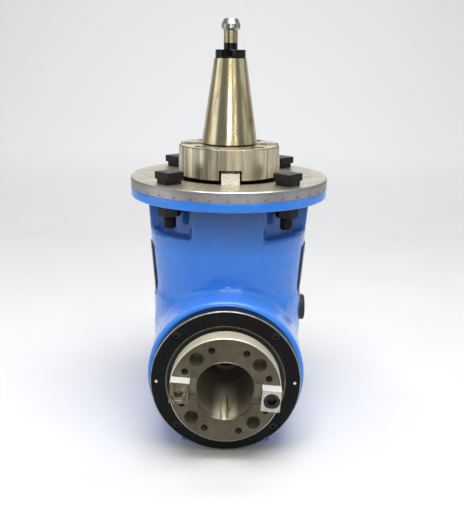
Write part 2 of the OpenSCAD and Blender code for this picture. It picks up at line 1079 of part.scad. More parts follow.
module front_balls() {
    color([0.8, 0.8, 0.82])
        forward()
            for (i = [0, 1])
                translate([0, 0, front_end + i * big[2]])
                    ball_row(big);
}

module front_cages() {
    color([0.72, 0.56, 0.28])
        forward()
            for (i = [0, 1])
                translate([0, 0, front_end + i * big[2]])
                    cage_row(big);
}

module rear_balls() {
    color([0.8, 0.8, 0.82])
        forward()
            translate([0, 0, rear_end])
                ball_row(small);
}

module rear_cage() {
    color([0.72, 0.56, 0.28])
        forward()
            translate([0, 0, rear_end])
                cage_row(small);
}

housing();
mounting_plate();
plate_screws();
t_bolts();
t_bolt_nuts();
front_cover();
front_cover_screws();
cover_dowels();
front_seal();
rear_cover();
rear_cover_screws();
side_plate_left();
side_plate_right();
side_plate_pins();
oil_plug();
oil_plug_washer();
input_seal();
input_circlip();
input_outer_races();
input_outer_spacer();
front_outer_races();
rear_outer_race();
input_hub();
drive_blocks();
drive_block_screws();
thrust_washer();
input_inner_races();
input_inner_spacer();
input_lock_nut();
input_gear();
input_gear_key();
input_gear_retainer();
retainer_screw();
float_screw();
taper_shank();
drive_ring();
drive_ring_screws();
pull_stud();
output_spindle();
nose_keys();
nose_key_screws();
output_gear();
output_gear_key();
front_inner_races();
front_lock_nut();
spacer_sleeve();
rear_inner_race();
rear_lock_nut();
draw_bolt();
input_balls();
input_cages();
front_balls();
front_cages();
rear_balls();
rear_cage();
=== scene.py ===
"""Dresses the right-angle milling head: enamelled casting, graduated plate, ground steel and a pale studio."""

import json
import math

import bmesh
import bpy
import numpy as np
from mathutils import Euler, Matrix, Vector, noise

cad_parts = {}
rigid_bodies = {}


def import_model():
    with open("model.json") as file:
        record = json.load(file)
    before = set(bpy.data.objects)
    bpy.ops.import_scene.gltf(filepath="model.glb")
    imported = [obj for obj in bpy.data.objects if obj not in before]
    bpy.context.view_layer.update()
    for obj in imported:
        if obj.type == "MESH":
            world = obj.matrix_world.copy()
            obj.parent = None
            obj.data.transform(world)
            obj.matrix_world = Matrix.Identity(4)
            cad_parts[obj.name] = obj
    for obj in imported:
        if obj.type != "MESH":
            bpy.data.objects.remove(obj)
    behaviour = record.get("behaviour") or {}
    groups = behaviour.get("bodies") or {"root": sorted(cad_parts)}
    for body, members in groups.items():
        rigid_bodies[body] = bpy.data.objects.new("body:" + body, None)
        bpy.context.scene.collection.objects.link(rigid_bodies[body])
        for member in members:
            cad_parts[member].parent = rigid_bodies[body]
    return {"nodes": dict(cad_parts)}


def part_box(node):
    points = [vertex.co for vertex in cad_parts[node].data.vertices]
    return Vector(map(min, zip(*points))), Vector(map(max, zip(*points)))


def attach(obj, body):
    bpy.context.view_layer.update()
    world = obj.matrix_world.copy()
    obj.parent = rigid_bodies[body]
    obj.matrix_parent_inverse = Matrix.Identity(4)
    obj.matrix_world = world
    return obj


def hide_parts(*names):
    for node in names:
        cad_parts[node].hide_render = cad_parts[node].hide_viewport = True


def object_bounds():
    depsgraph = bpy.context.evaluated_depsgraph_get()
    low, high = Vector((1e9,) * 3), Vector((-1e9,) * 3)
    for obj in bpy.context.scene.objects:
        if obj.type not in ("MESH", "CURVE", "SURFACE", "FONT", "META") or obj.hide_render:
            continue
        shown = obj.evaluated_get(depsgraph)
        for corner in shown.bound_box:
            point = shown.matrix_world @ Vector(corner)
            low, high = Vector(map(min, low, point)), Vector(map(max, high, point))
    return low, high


bl_info = {
    "name": "Angle head",
    "version": (1, 0, 0),
    "blender": (4, 5, 0),
    "location": "View3D > Sidebar > Angle head",
    "description": "Casting, degree scale, bolts, finishes and stage of a right-angle milling head",
    "category": "Object",
}

for spare in list(bpy.data.objects):
    bpy.data.objects.remove(spare, do_unlink=True)
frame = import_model()
CAD_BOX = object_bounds()

MM = 0.001
PLATE_LOW, PLATE_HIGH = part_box("mounting_plate")
NOSE_LOW, NOSE_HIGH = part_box("output_spindle")
CASTING_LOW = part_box("housing")[0]
RING_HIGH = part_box("drive_ring")[1]
TEE_LOW, TEE_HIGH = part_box("t_bolts")
STUD_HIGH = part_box("pull_stud")[1]
COVER_LOW, COVER_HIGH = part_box("front_cover")
COVER_MOUTH = 69 * MM
SPINDLE_Z = (NOSE_LOW.z + NOSE_HIGH.z) / 2
PILOT_RADIUS = (NOSE_HIGH.x - NOSE_LOW.x) / 2
SOCKET_MOUTH = 34.925 * MM
HEAD = "head_body"
RIM_INSET = 0.05 * MM
BARREL_FRONT, BARREL_REAR = -134 * MM, 100 * MM
FOOT_FRONT, FOOT_REAR, FOOT_SIDE = -126 * MM, 90 * MM, 53.5 * MM
FOOT_ROUND = 2 * MM
FOOT_CENTRE = np.array([0, (FOOT_FRONT + FOOT_REAR) / 2, CASTING_LOW.z + 30 * MM])
FOOT_HALF = np.array([FOOT_SIDE, (FOOT_REAR - FOOT_FRONT) / 2, 30 * MM]) - FOOT_ROUND
PLUG_LOW, PLUG_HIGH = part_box("oil_plug_washer")
PLUG_Z = (PLUG_LOW.z + PLUG_HIGH.z) / 2
PLUG_FACE = PLUG_LOW.x
PLUG_SPOT = 18 * MM
TAG_LOW, TAG_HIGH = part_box("side_plate_right")
TAG_HALF = math.radians(17.1)
TAG_SUNK = 0.3 * MM
NOTCH_TOP = 14.6 * MM
BORE_RADIUS, REAR_BORE_RADIUS = 76 * MM, 56 * MM
TEE_CIRCLE, PLATE_SCREW_CIRCLE = 99.7 * MM, 114 * MM

# casting: width of the soft zone at each edge, and how far the cast skin stays clear of machined faces
CREASE_SOFT, DRUM_SOFT, POCKET_SOFT, POCKET_BACK_SOFT = 2 * MM, 14 * MM, 5 * MM, 8 * MM
COLLAR_EDGE, COLLAR_SOFT, FRONT_EDGE, REAR_EDGE = 1.2 * MM, 5 * MM, 7 * MM, 3 * MM
FOOT_SOFT, SOLE_EDGE, SPOT_EDGE, TAG_EDGE = 9 * MM, 1.5 * MM, 1 * MM, 0.6 * MM
MACHINED_CLEAR, TAG_CLEAR = 4 * MM, 1 * MM

# casting: reach of the outer skin, start of the bores and of the screw holes, holes (first, step, circle, radius)
SKIN_REACH, BORE_DEPTH, REAR_BORE_START, HOLE_LOW = 6.5 * MM, 60 * MM, 40 * MM, -30 * MM
HOLE_RINGS = ((45, 90, TEE_CIRCLE, 10 * MM), (15, 30, PLATE_SCREW_CIRCLE, 8 * MM))

# T-slot bolts: square head, neck between its flats and threaded shaft
TEE_HEAD_HALF, TEE_HEAD_LOW, TEE_HEAD_BEVEL = 12.5 * MM, 5.5 * MM, 0.9 * MM
TEE_NECK_HALF, TEE_NECK_LOW, TEE_NECK_HIGH, TEE_NECK_BEVEL = (12.4 * MM, 8 * MM), 0.1 * MM, 6.2 * MM, 0.3 * MM
TEE_SHAFT_RADIUS, TEE_SHAFT_TOP, TEE_PITCH, TEE_POINT = 8 * MM, 1 * MM, 2 * MM, 1.4 * MM

# degree scale: relief above the rim, top of the lines, foot of the numbers, length of the lines by their step
SCALE_RELIEF, SCALE_TOP, NUMBER_FOOT = 0.03 * MM, -1.0 * MM, 10.6 * MM
TICK_LENGTHS = ((90, 6.2 * MM), (10, 4.9 * MM), (5, 3.9 * MM), (1, 2.9 * MM))

# stage: floor, bend and wall of the sweep in metres, lights (place, aim, width, height, watts, colour), camera
FLOOR_FRONT, FLOOR_REAR, FLOOR_SIDE = -4.0, 1.8, 5.0
BEND, BEND_STEPS, WALL_TOP = 0.8, 16, 3.4
AIM = (0, 0, -0.05)
WHITE, WARM, SOFT_WARM = (1, 1, 1), (1.0, 0.97, 0.9), (1.0, 0.97, 0.92)
LIGHTS = {
    "overhead": ((0.1, -0.35, 1.35), AIM, 1.3, 0.9, 28, WHITE),
    "strip_centre": ((-0.06, -1.75, 0.75), AIM, 0.26, 1.3, 2.3, WARM),
    "strip_right": ((0.75, -1.5, 0.55), AIM, 0.14, 1.3, 2.8, SOFT_WARM),
    "side_left": ((-1.45, -0.25, 0.35), AIM, 1.1, 1.5, 5.2, WHITE),
    "side_right": ((1.45, -0.1, 0.35), AIM, 1.1, 1.5, 2.1, WHITE),
    "glint_left": ((-0.3, -0.85, 0.95), AIM, 0.05, 0.3, 0.8, WHITE),
    "glint_right": ((0.34, -0.8, 0.95), AIM, 0.05, 0.3, 0.7, WHITE),
    "nose_fill": ((0.03, -1.3, 0.3), (0, -0.15, -0.24), 0.3, 0.2, 1.35, WARM),
    "wall_wash": ((0, 1.2, 2.7), (0, 2.6, 0.5), 4.0, 0.6, 42, WHITE),
}
SKY_COLOUR, SKY_STRENGTH = (0.93, 0.95, 1.0, 1), 0.16
CAMERA_LENS, CAMERA_PLACE = 51.01, (0.00544, -0.92577, 0.15235)
CAMERA_PITCH, CAMERA_ROLL = math.radians(74.25), math.radians(0.85)


class HeadSizes(bpy.types.PropertyGroup):
    """Sizes of the dressed head."""
    plate_radius: bpy.props.FloatProperty(
        name="Plate radius", description="Rim of the graduated plate", default=PLATE_HIGH.x, unit="LENGTH")
    plate_thickness: bpy.props.FloatProperty(
        name="Plate thickness", description="Height of the bare band", default=-PLATE_LOW.z, unit="LENGTH")
    collar_low: bpy.props.FloatProperty(
        name="Collar underside", description="Height of the painted collar's underside", default=-24 * MM,
        unit="LENGTH")
    cone_top: bpy.props.FloatProperty(
        name="Cone top radius", description="Casting radius below the collar", default=104 * MM, unit="LENGTH")
    cone_low: bpy.props.FloatProperty(
        name="Cone low radius", description="Casting radius at the crease", default=95.2 * MM, unit="LENGTH")
    crease: bpy.props.FloatProperty(
        name="Crease height", description="Height where the cone meets the drum", default=-142 * MM, unit="LENGTH")
    drum_radius: bpy.props.FloatProperty(
        name="Drum radius", description="Radius of the drum behind the barrel", default=97.2 * MM, unit="LENGTH")
    flare: bpy.props.FloatProperty(
        name="Flare height", description="Height over which the cone flares out to the drum", default=10 * MM,
        unit="LENGTH")
    drum_low: bpy.props.FloatProperty(
        name="Drum bottom", description="Height of the drum's underside", default=-207 * MM, unit="LENGTH")
    barrel_radius: bpy.props.FloatProperty(
        name="Barrel radius", description="Radius of the spindle barrel", default=93.5 * MM, unit="LENGTH")
    fillet: bpy.props.FloatProperty(
        name="Casting fillet", description="Blend where the barrel meets the body", default=11 * MM, unit="LENGTH")
    pocket_radius: bpy.props.FloatProperty(
        name="Nut pocket depth", description="Distance of a nut pocket's back wall from the axis",
        default=83 * MM, unit="LENGTH")
    pocket_inner: bpy.props.FloatProperty(
        name="Nut pocket inner wall", description="Distance of a nut pocket's inner wall from the middle plane",
        default=43 * MM, unit="LENGTH")
    pocket_side: bpy.props.FloatProperty(
        name="Nut pocket side wall", description="Distance of a nut pocket's side wall from the side plane",
        default=22 * MM, unit="LENGTH")
    pocket_low: bpy.props.FloatProperty(
        name="Nut pocket floor", description="Height of a nut pocket's floor", default=-65 * MM, unit="LENGTH")
    voxel: bpy.props.FloatProperty(
        name="Casting mesh", description="Cell size of the casting's mesh", default=1.7 * MM, unit="LENGTH")
    lumps: bpy.props.FloatProperty(
        name="Casting lumps", description="Height of the waves in the cast skin", default=0.35 * MM, unit="LENGTH")
    number_height: bpy.props.FloatProperty(
        name="Number height", description="Height of the numbers on the scale", default=4.2 * MM, unit="LENGTH")
    tick_width: bpy.props.FloatProperty(
        name="Tick width", description="Width of a line of the scale", default=0.32 * MM, unit="LENGTH")


class HeadColours(bpy.types.PropertyGroup):
    """Colours of the finishes."""
    enamel: bpy.props.FloatVectorProperty(
        name="Enamel", description="Blue enamel of the casting", default=(0.022, 0.21, 0.77), subtype="COLOR")
    ground: bpy.props.FloatVectorProperty(
        name="Ground steel", description="Oiled ground steel of shank and nose", default=(0.85, 0.765, 0.57),
        subtype="COLOR")
    plate: bpy.props.FloatVectorProperty(
        name="Plate steel", description="Bare steel of the graduated plate", default=(0.43, 0.42, 0.42),
        subtype="COLOR")
    bright: bpy.props.FloatVectorProperty(
        name="Bright steel", description="Drive blocks and clean keys", default=(0.92, 0.89, 0.81), subtype="COLOR")
    black: bpy.props.FloatVectorProperty(
        name="Black oxide", description="Bolts, nuts and screws", default=(0.022, 0.021, 0.022), subtype="COLOR")
    cover: bpy.props.FloatVectorProperty(
        name="Black cover", description="Ring around the nose", default=(0.0035, 0.0035, 0.0045), subtype="COLOR")
    bronze: bpy.props.FloatVectorProperty(
        name="Bronze", description="Cages and washers", default=(0.55, 0.36, 0.16), subtype="COLOR")
    floor: bpy.props.FloatVectorProperty(
        name="Floor", description="Pale floor and backdrop", default=(0.72, 0.72, 0.725), subtype="COLOR")


def sizes():
    return bpy.context.scene.angle_head_sizes


def colours():
    return bpy.context.scene.angle_head_colours


# node helpers

def add(tree, kind, inputs=None, **settings):
    """Adds a node, sets its options and sets or links its inputs."""
    made = tree.nodes.new(kind)
    for key, value in settings.items():
        setattr(made, key, value)
    for key, value in (inputs or {}).items():
        socket = made.inputs[key]
        if isinstance(value, bpy.types.NodeSocket):
            tree.links.new(value, socket)
        else:
            socket.default_value = value
    return made


def opaque(colour):
    return (*colour[:3], 1.0)


def mixed(tree, factor, first, second, mode="MIX"):
    """Colour mix of two colours or sockets."""
    made = add(tree, "ShaderNodeMix", data_type="RGBA", blend_type=mode)
    for index, value in ((0, factor), (6, first), (7, second)):
        if isinstance(value, bpy.types.NodeSocket):
            tree.links.new(value, made.inputs[index])
        else:
            made.inputs[index].default_value = opaque(value) if index else value
    return made.outputs[2]


def ranged(tree, value, low, high, to_low=0.0, to_high=1.0):
    """Clamped linear remap of a value."""
    inputs = {"Value": value, "From Min": low, "From Max": high, "To Min": to_low, "To Max": to_high}
    return add(tree, "ShaderNodeMapRange", inputs).outputs["Result"]


def maths(tree, operation, first, second=0.0):
    return add(tree, "ShaderNodeMath", {0: first, 1: second}, operation=operation).outputs[0]


def place(tree):
    """Position on the piece, in metres."""
    return add(tree, "ShaderNodeTexCoord").outputs["Object"]


def coordinate(tree, axis):
    """One coordinate of the position on the piece: 0 across, 1 along, 2 up."""
    return add(tree, "ShaderNodeSeparateXYZ", {0: place(tree)}).outputs[axis]


def facing_up(tree):
    """Upward share of the face's direction."""
    facing = add(tree, "ShaderNodeNewGeometry").outputs["Normal"]
    return add(tree, "ShaderNodeSeparateXYZ", {0: facing}).outputs[2]


def stretched(tree, vector, scale):
    return add(tree, "ShaderNodeVectorMath", {0: vector, 1: scale}, operation="MULTIPLY").outputs[0]


def cloudy(tree, vector, scale, detail=4.0, rough=0.55, distortion=0.0):
    inputs = {"Vector": vector, "Scale": scale, "Detail": detail, "Roughness": rough, "Distortion": distortion}
    return add(tree, "ShaderNodeTexNoise", inputs).outputs["Fac"]


def turned(tree, along, centre_z=0.0):
    """Distance from the axis and distance along it, for marks that run round a turned piece."""
    vector = add(tree, "ShaderNodeVectorMath", {0: place(tree), 1: (0, 0, centre_z)}, operation="SUBTRACT")
    parts = add(tree, "ShaderNodeSeparateXYZ", {0: vector.outputs[0]}).outputs
    across, axial = (parts[1], parts[2]) if along == "Z" else (parts[2], parts[1])
    flat = add(tree, "ShaderNodeCombineXYZ", {0: parts[0], 1: across}).outputs[0]
    radius = add(tree, "ShaderNodeVectorMath", {0: flat}, operation="LENGTH").outputs["Value"]
    return radius, axial, add(tree, "ShaderNodeCombineXYZ", {0: radius, 1: axial}).outputs[0]


def bumped(tree, height, strength, distance, normal=None):
    inputs = {"Height": height, "Strength": strength, "Distance": distance}
    if normal is not None:
        inputs["Normal"] = normal
    return add(tree, "ShaderNodeBump", inputs).outputs["Normal"]


def finish(name, metallic, roughness, coat=0.0, coat_rough=0.05):
    """A new material, its tree and its shader."""
    material = bpy.data.materials.new(name)
    material.use_nodes = True
    shader = material.node_tree.nodes["Principled BSDF"]
    shader.inputs["Metallic"].default_value = metallic
    shader.inputs["Roughness"].default_value = roughness
    shader.inputs["Coat Weight"].default_value = coat
    shader.inputs["Coat Roughness"].default_value = coat_rough
    return material, material.node_tree, shader


def join(tree, socket, shader, name):
    tree.links.new(socket, shader.inputs[name])


# finishes

def blue_enamel():
    """Thick glossy enamel on a rough casting: orange peel, painted shade under the collar, a painted pale sheen on
    what looks up, and pale dust specks.
    """
    material, tree, shader = finish("blue_enamel", 0.0, 0.26, coat=0.4, coat_rough=0.02)
    shader.inputs["Specular IOR Level"].default_value = 0.4
    base = colours().enamel
    where = place(tree)
    soft = cloudy(tree, where, 14, 3)
    pale = [c * 1.08 for c in base]
    deep = [c * 0.93 for c in base]
    colour = mixed(tree, ranged(tree, soft, 0.25, 0.75), deep, pale)
    height = coordinate(tree, 2)
    # painted shade: the cone is darkened towards the collar, where the collar's shadow falls
    collar_shade = ranged(tree, height, sizes().collar_low - 62 * MM, sizes().collar_low - 6 * MM, 0.0, 0.95)
    radius = turned(tree, "Z")[0]
    under = maths(tree, "MULTIPLY", collar_shade, ranged(tree, radius, sizes().cone_top + 4 * MM, sizes().cone_top))
    colour = mixed(tree, under, colour, [c * 0.22 for c in base])
    # painted sheen: the faces that look up are veiled pale, for the light falling on them from above
    upward = facing_up(tree)
    colour = mixed(tree, ranged(tree, upward, 0.25, 0.85, 0.0, 0.1), colour, (0.42, 0.5, 0.62))
    dust = ranged(tree, cloudy(tree, where, 420, 2), 0.66, 0.8)
    colour = mixed(tree, maths(tree, "MULTIPLY", dust, 0.16), colour, (0.42, 0.5, 0.62))
    join(tree, colour, shader, "Base Color")
    join(tree, ranged(tree, soft, 0.3, 0.7, 0.2, 0.32), shader, "Roughness")
    peel = bumped(tree, cloudy(tree, where, 330, 2), 0.16, 0.25 * MM)
    skin = bumped(tree, cloudy(tree, where, 75, 3), 0.22, 1.2 * MM, peel)
    join(tree, skin, shader, "Normal")
    join(tree, bumped(tree, cloudy(tree, where, 120, 3), 0.35, 1.1 * MM, peel), shader, "Coat Normal")
    return material


def ground_steel(name, along, centre_z=0.0, stain=0.5, colour=None, rough=(0.3, 0.46)):
    """Ground and hardened steel under a warm oil film: fine lines round the axis, brown stains and dark specks."""
    material, tree, shader = finish(name, 1.0, 0.27)
    base = colour or colours().ground
    where = place(tree)
    lines = cloudy(tree, turned(tree, along, centre_z)[2], 900, 2)
    film = cloudy(tree, stretched(tree, where, (1.0, 1.0, 0.16)), 62, 5, 0.62, 0.35)
    brown = [base[0] * 0.58, base[1] * 0.49, base[2] * 0.3]
    shade = mixed(tree, ranged(tree, film, 0.5, 0.74, 0.0, stain), list(base), brown)
    shade = mixed(tree, ranged(tree, lines, 0.3, 0.7, 0.0, 0.16), shade, [c * 0.6 for c in base])
    specks = ranged(tree, cloudy(tree, where, 310, 3, 0.7), 0.68, 0.76, 0.0, 0.7)
    shade = mixed(tree, specks, shade, (0.10, 0.08, 0.05))
    join(tree, shade, shader, "Base Color")
    join(tree, ranged(tree, film, 0.35, 0.72, rough[0], rough[1]), shader, "Roughness")
    join(tree, bumped(tree, lines, 0.06, 0.06 * MM), shader, "Normal")
    return material


def ring_steel():
    """The drive ring's steel: dark vertical streaks of oil and of painted reflection, a dark upper rim, and painted
    shade in the notches of the drive blocks.
    """
    material = ground_steel("ring_steel", "Z", stain=0.85, rough=(0.24, 0.38))
    tree = material.node_tree
    shader = tree.nodes["Principled BSDF"]
    shader.inputs["Metallic"].default_value = 0.85
    shade = shader.inputs["Base Color"].links[0].from_socket
    radius, height, _ = turned(tree, "Z")
    # dark vertical streaks: oil, and painted reflection of the dark stripes of the room round the ring
    oil_runs_and_reflections = cloudy(tree, stretched(tree, place(tree), (1.0, 1.0, 0.04)), 130, 3, 0.6)
    shade = mixed(tree, ranged(tree, oil_runs_and_reflections, 0.45, 0.6, 0.0, 0.72), shade, (0.26, 0.235, 0.18))
    rim = ranged(tree, height, RING_HIGH.z - 1.3 * MM, RING_HIGH.z - 0.5 * MM, 0.0, 0.85)
    rim = maths(tree, "MULTIPLY", rim, ranged(tree, radius, RING_HIGH.y - 1.8 * MM, RING_HIGH.y - 1.1 * MM))
    shade = mixed(tree, rim, shade, (0.05, 0.043, 0.032))
    # painted shade: the ring's inner faces below the notch tops are near-black, for the shadow in the gaps round
    # the drive blocks
    within = ranged(tree, radius, RING_HIGH.y - 0.6 * MM, RING_HIGH.y - 1.6 * MM)
    below = ranged(tree, height, NOTCH_TOP + 1.2 * MM, NOTCH_TOP + 0.2 * MM)
    oil = maths(tree, "MULTIPLY", maths(tree, "MULTIPLY", within, below), 0.96)
    join(tree, mixed(tree, oil, shade, (0.02, 0.017, 0.012)), shader, "Base Color")
    return material


def shank_steel():
    """The taper's steel: streaks of old oil, dark specks and a painted shade line at its foot, where it stands in
    the ring.
    """
    material, tree, shader = finish("shank_steel", 1.0, 0.25)
    base = [c * share for c, share in zip(colours().ground, (0.9, 0.91, 0.82))]
    where = place(tree)
    lines = cloudy(tree, turned(tree, "Z")[2], 900, 2)
    drip = cloudy(tree, stretched(tree, where, (62, 62, 11)), 1.0, 5, 0.62, 0.7)
    brown = [base[0] * 0.52, base[1] * 0.47, base[2] * 0.34]
    shade = mixed(tree, ranged(tree, drip, 0.44, 0.62, 0.0, 0.9), base, brown)
    shade = mixed(tree, ranged(tree, lines, 0.35, 0.75, 0.0, 0.14), shade, [c * 0.62 for c in base])
    specks = ranged(tree, cloudy(tree, where, 240, 4, 0.7), 0.665, 0.72, 0.0, 0.8)
    shade = mixed(tree, specks, shade, (0.07, 0.055, 0.04))
    # painted shade: a dark band at the taper's foot, for the shadow in the gap above the ring
    height = coordinate(tree, 2)
    foot = ranged(tree, height, RING_HIGH.z + 2.6 * MM, RING_HIGH.z + 1.4 * MM)
    shade = mixed(tree, foot, shade, (0.04, 0.034, 0.024))
    join(tree, shade, shader, "Base Color")
    join(tree, ranged(tree, drip, 0.35, 0.7, 0.19, 0.34), shader, "Roughness")
    join(tree, bumped(tree, lines, 0.05, 0.06 * MM), shader, "Normal")
    return material


def plate_steel():
    """Bare plate: milled and oily on top with dark specks near the ring, plain and pale on the rim band."""
    material, tree, shader = finish("plate_steel", 1.0, 0.36)
    base = colours().plate
    where = place(tree)
    radius, height, rings = turned(tree, "Z")
    film = cloudy(tree, where, 34, 5, 0.62)
    top = mixed(tree, ranged(tree, film, 0.42, 0.68), (0.74, 0.69, 0.58), (0.52, 0.475, 0.37))
    dirt = ranged(tree, cloudy(tree, where, 260, 4, 0.75), 0.51, 0.63)
    inner = ranged(tree, radius, 0.128, 0.08)
    top = mixed(tree, maths(tree, "MULTIPLY", dirt, inner), top, (0.06, 0.045, 0.025))
    rim = ranged(tree, radius, sizes().plate_radius - 1.2 * MM, sizes().plate_radius - 0.5 * MM)
    tarnish = ranged(tree, cloudy(tree, where, 60, 4), 0.4, 0.7, 0.0, 0.5)
    band = mixed(tree, tarnish, list(base), (0.33, 0.32, 0.325))
    join(tree, mixed(tree, rim, top, band), shader, "Base Color")
    join(tree, ranged(tree, film, 0.3, 0.7, 0.3, 0.46), shader, "Roughness")
    join(tree, bumped(tree, cloudy(tree, rings, 1100, 2), 0.06, 0.06 * MM), shader, "Normal")
    return material


def speckled_bright():
    """Bright block with a pitted, speckled face."""
    material, tree, shader = finish("speckled_bright", 1.0, 0.4)
    base = colours().bright
    where = place(tree)
    grain = cloudy(tree, where, 520, 3, 0.7)
    rust = ranged(tree, cloudy(tree, where, 300, 3, 0.7), 0.61, 0.72, 0.0, 0.75)
    shade = mixed(tree, ranged(tree, grain, 0.42, 0.66), list(base), [c * 0.7 for c in base])
    join(tree, mixed(tree, rust, shade, (0.42, 0.31, 0.12)), shader, "Base Color")
    join(tree, ranged(tree, grain, 0.3, 0.7, 0.34, 0.58), shader, "Roughness")
    join(tree, bumped(tree, grain, 0.25, 0.12 * MM), shader, "Normal")
    return material


def black_oxide(name="black_oxide", worn=0.35, rough=0.42):
    """Black oxide with grey rub marks on the faces that look up."""
    material, tree, shader = finish(name, 0.75, rough)
    base = colours().black
    where = place(tree)
    upward = facing_up(tree)
    rub = cloudy(tree, where, 120, 5, 0.65)
    worn_top = maths(tree, "MULTIPLY", ranged(tree, upward, 0.6, 0.95), ranged(tree, rub, 0.3, 0.7, 0.25, 1.0))
    grey = mixed(tree, ranged(tree, rub, 0.5, 0.72, 0.0, 0.6), list(base), (0.055, 0.05, 0.048))
    shade = mixed(tree, maths(tree, "MULTIPLY", worn_top, worn), grey, (0.20, 0.20, 0.195))
    join(tree, shade, shader, "Base Color")
    join(tree, ranged(tree, rub, 0.3, 0.7, rough - 0.08, rough + 0.14), shader, "Roughness")
    join(tree, bumped(tree, cloudy(tree, where, 600, 2), 0.12, 0.08 * MM), shader, "Normal")
    return material


def cover_black():
    """Satin black ring with a painted highlight along its two front edges, partly worn bare there."""
    material, tree, shader = finish("cover_black", 0.0, 0.34)
    shader.inputs["Specular IOR Level"].default_value = 0.12
    base = colours().cover
    where = place(tree)
    radius, axial, rings = turned(tree, "Y", SPINDLE_Z)
    rub = cloudy(tree, where, 60, 5, 0.7)
    edge = ranged(tree, radius, COVER_HIGH.x - 1.5 * MM, COVER_HIGH.x - 0.7 * MM)
    front = ranged(tree, axial, COVER_LOW.y + 1.6 * MM, COVER_LOW.y + 0.7 * MM)
    mouth = ranged(tree, radius, COVER_MOUTH + 1.4 * MM, COVER_MOUTH + 0.8 * MM)
    rims = maths(tree, "MULTIPLY", maths(tree, "MAXIMUM", edge, mouth), front)
    # painted highlight, partly real wear: bright, metallic lines along the outer and inner front edges
    edge_highlight_and_wear = maths(tree, "MULTIPLY", rims, ranged(tree, rub, 0.35, 0.6, 0.35, 1.0))
    film = mixed(tree, ranged(tree, rub, 0.5, 0.75, 0.0, 0.6), list(base), (0.016, 0.015, 0.017))
    join(tree, mixed(tree, edge_highlight_and_wear, film, (0.46, 0.45, 0.43)), shader, "Base Color")
    join(tree, maths(tree, "MULTIPLY", edge_highlight_and_wear, 0.9), shader, "Metallic")
    join(tree, ranged(tree, rub, 0.3, 0.7, 0.28, 0.46), shader, "Roughness")
    join(tree, bumped(tree, cloudy(tree, rings, 800, 2), 0.08, 0.06 * MM), shader, "Normal")
    return material


def stud_steel():
    """Pull stud: black collar and lower neck, straw neck above a bright line, silver head."""
    material, tree, shader = finish("stud_steel", 0.95, 0.3)
    where = place(tree)
    height = coordinate(tree, 2)
    top = STUD_HIGH.z
    black_top = top - 28.6 * MM
    straw_top = top - 14.4 * MM
    grain = cloudy(tree, where, 180, 4)
    straw = mixed(tree, ranged(tree, grain, 0.35, 0.7), (0.52, 0.45, 0.29), (0.36, 0.30, 0.18))
    silver = mixed(tree, ranged(tree, grain, 0.35, 0.7), (0.52, 0.51, 0.48), (0.30, 0.29, 0.26))
    shade = mixed(tree, ranged(tree, height, straw_top - 0.4 * MM, straw_top + 0.4 * MM), straw, silver)
    dark = mixed(tree, ranged(tree, grain, 0.45, 0.7), (0.018, 0.017, 0.02), (0.05, 0.048, 0.05))
    shade = mixed(tree, ranged(tree, height, black_top - 0.4 * MM, black_top + 0.4 * MM), dark, shade)
    join(tree, shade, shader, "Base Color")
    join(tree, ranged(tree, grain, 0.3, 0.7, 0.2, 0.38), shader, "Roughness")
    join(tree, bumped(tree, cloudy(tree, turned(tree, "Z")[2], 900, 2), 0.06, 0.06 * MM), shader, "Normal")
    return material


def greased(tree, clean, grease):
    """Colour that is clean on the right-hand side and greased on the left."""
    side = coordinate(tree, 0)
    return mixed(tree, ranged(tree, side, 5 * MM, -5 * MM), clean, grease)


def key_steel():
    """Nose keys: the left one under brown grease, the right one clean, both worn clean on top and painted pale
    there for the light from above.
    """
    material, tree, shader = finish("key_steel", 1.0, 0.34)
    where = place(tree)
    upward = facing_up(tree)
    grain = cloudy(tree, where, 210, 5, 0.7, 0.8)
    clean = mixed(tree, ranged(tree, grain, 0.4, 0.72), (0.55, 0.53, 0.47), (0.33, 0.31, 0.26))
    grease = mixed(tree, ranged(tree, grain, 0.36, 0.62), (0.06, 0.044, 0.026), (0.24, 0.21, 0.15))
    shade = greased(tree, clean, grease)
    # painted highlight, partly real wear: the faces that look up are worn clean and painted pale and dull, for the
    # light from above
    top = mixed(tree, ranged(tree, grain, 0.5, 0.8), (0.86, 0.85, 0.82), (0.50, 0.47, 0.40))
    rubbed_top_and_sheen = ranged(tree, upward, 0.75, 0.95)
    join(tree, mixed(tree, rubbed_top_and_sheen, shade, top), shader, "Base Color")
    join(tree, ranged(tree, rubbed_top_and_sheen, 0.0, 1.0, 1.0, 0.3), shader, "Metallic")
    join(tree, ranged(tree, grain, 0.3, 0.7, 0.26, 0.5), shader, "Roughness")
    join(tree, bumped(tree, grain, 0.3, 0.35 * MM), shader, "Normal")
    return material


def key_screw():
    """Black screws of the nose keys, the left one under brown grease."""
    material, tree, shader = finish("key_screw_black", 0.7, 0.36)
    grain = cloudy(tree, place(tree), 230, 5, 0.7, 0.6)
    clean = mixed(tree, ranged(tree, grain, 0.45, 0.7), colours().black, (0.06, 0.055, 0.05))
    grease = mixed(tree, ranged(tree, grain, 0.4, 0.6), (0.10, 0.072, 0.04), (0.30, 0.25, 0.16))
    join(tree, greased(tree, clean, grease), shader, "Base Color")
    join(tree, ranged(tree, grain, 0.3, 0.7, 0.3, 0.5), shader, "Roughness")
    join(tree, bumped(tree, grain, 0.3, 0.25 * MM), shader, "Normal")
    return material


